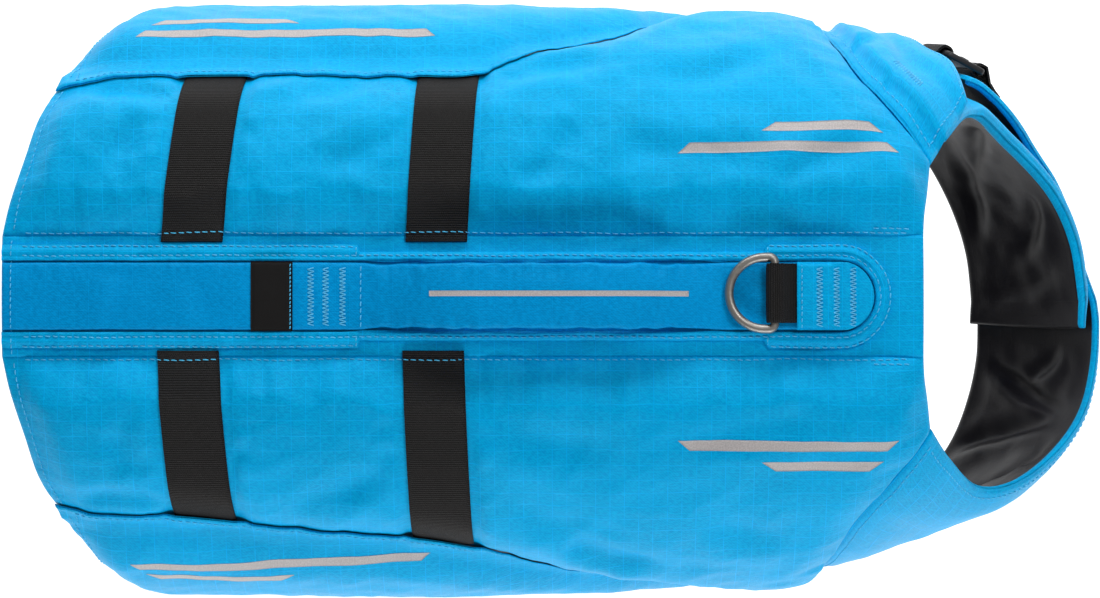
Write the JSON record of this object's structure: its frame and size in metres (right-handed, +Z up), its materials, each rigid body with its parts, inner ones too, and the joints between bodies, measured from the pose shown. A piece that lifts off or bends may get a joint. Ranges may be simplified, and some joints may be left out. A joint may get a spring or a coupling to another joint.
{
  "type": "dog life jacket",
  "caption": "Foam-filled dog life jacket in its worn shape: padded back and flanks, neck collar, webbing straps, grab handle and leash ring.",
  "frame": {"origin": "on the lining over the wearer's spine, halfway along the back, where the jacket rests on the dog", "axes": "+X towards the wearer's head, +Y to the wearer's left, +Z up away from the back"},
  "size_m": [0.4744, 0.2645, 0.2666],
  "materials": {
    "shell_nylon": "coated ripstop nylon",
    "webbing": "ribbed polyester webbing",
    "label": "plain woven tape",
    "ring_metal": "bare stainless steel",
    "buckle_plastic": "moulded acetal"
  },
  "bodies": {
    "jacket": {"spine_panel": "shell_nylon", "back_panel_left": "shell_nylon", "back_panel_right": "shell_nylon", "flank_panel_left": "shell_nylon", "flank_panel_right": "shell_nylon", "strap_back_left_rear": "webbing", "strap_back_left_front": "webbing", "strap_back_right_rear": "webbing", "strap_back_right_front": "webbing", "handle": "shell_nylon", "handle_edging": "shell_nylon", "loop_label": "label", "ring_tab": "webbing", "ring_cover": "shell_nylon", "buckle_rear_body": "buckle_plastic", "buckle_rear_tang": "buckle_plastic", "strap_belly_rear_left": "webbing", "strap_belly_rear_right": "webbing", "buckle_front_body": "buckle_plastic", "buckle_front_tang": "buckle_plastic", "strap_belly_front_left": "webbing", "strap_belly_front_right": "webbing", "collar_tongue": "shell_nylon", "collar_band": "shell_nylon", "collar_flap": "shell_nylon", "ladder_lock": "buckle_plastic", "strap_neck": "webbing", "strap_neck_tab": "webbing"},
    "leash_ring": {"leash_ring": "ring_metal"}
  },
  "joints": [
    {"name": "leash_ring_swing", "type": "hinge", "parent": "jacket", "child": "leash_ring", "pos_m": [0.1302, 0, 0.0101], "axis": [0, 1, 0], "range_deg": [0, 150]}
  ]
}
